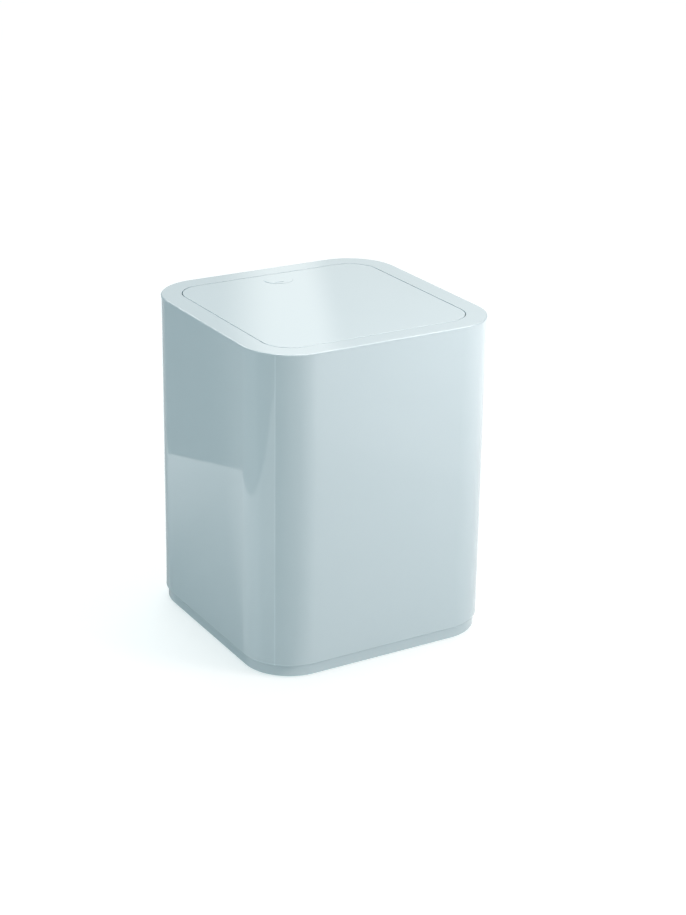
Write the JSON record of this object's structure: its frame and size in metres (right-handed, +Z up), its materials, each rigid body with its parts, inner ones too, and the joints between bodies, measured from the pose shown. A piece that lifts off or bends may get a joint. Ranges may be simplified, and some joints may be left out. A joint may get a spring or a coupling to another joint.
{
  "type": "swing-lid waste bin",
  "caption": "Small square waste bin with round corners: a glossy cover with a flush swinging lid, over a bucket that stands on a base tray.",
  "frame": {"origin": "on the floor, under the middle of the bin", "axes": "+Z up, -Y the front, -X the left side; the lid turns about an axis along X and its press dimple is at the back edge, +Y"},
  "size_m": [0.2, 0.2, 0.2515],
  "materials": {
    "cover_plastic": "gloss",
    "lid_plastic": "gloss",
    "tray_plastic": "gloss",
    "bucket_plastic": "satin",
    "cap_plastic": "satin",
    "bush_plastic": "satin",
    "foot_rubber": "matte",
    "sleeve_rubber": "matte",
    "pin_steel": "polished",
    "screw_steel": "satin",
    "weight_steel": "satin"
  },
  "bodies": {
    "base": {"base_tray": "tray_plastic", "foot_pad_front_left": "foot_rubber", "foot_pad_front_right": "foot_rubber", "foot_pad_back_left": "foot_rubber", "foot_pad_back_right": "foot_rubber"},
    "bucket": {"inner_bucket": "bucket_plastic"},
    "cover": {"outer_cover": "cover_plastic", "bearing_bush_left": "bush_plastic", "bearing_bush_right": "bush_plastic", "bearing_cap_left": "cap_plastic", "bearing_cap_right": "cap_plastic", "stop_sleeve_left": "sleeve_rubber", "stop_sleeve_right": "sleeve_rubber", "bearing_cap_screws": "screw_steel"},
    "lid": {"lid_panel": "lid_plastic", "pivot_pin_left": "pin_steel", "pivot_pin_right": "pin_steel", "counterweight": "weight_steel", "weight_cover": "cap_plastic", "weight_cover_screws": "screw_steel"}
  },
  "joints": [
    {"name": "bucket_lift", "type": "slide", "parent": "base", "child": "bucket", "axis": [0, 0, 1], "range_m": [0, 0.03]},
    {"name": "cover_lift", "type": "slide", "parent": "bucket", "child": "cover", "axis": [0, 0, 1], "range_m": [0, 0.235]},
    {"name": "lid_swing", "type": "hinge", "parent": "cover", "child": "lid", "pos_m": [0, 0, 0.2445], "axis": [1, 0, 0], "range_deg": [-70, 70]}
  ]
}
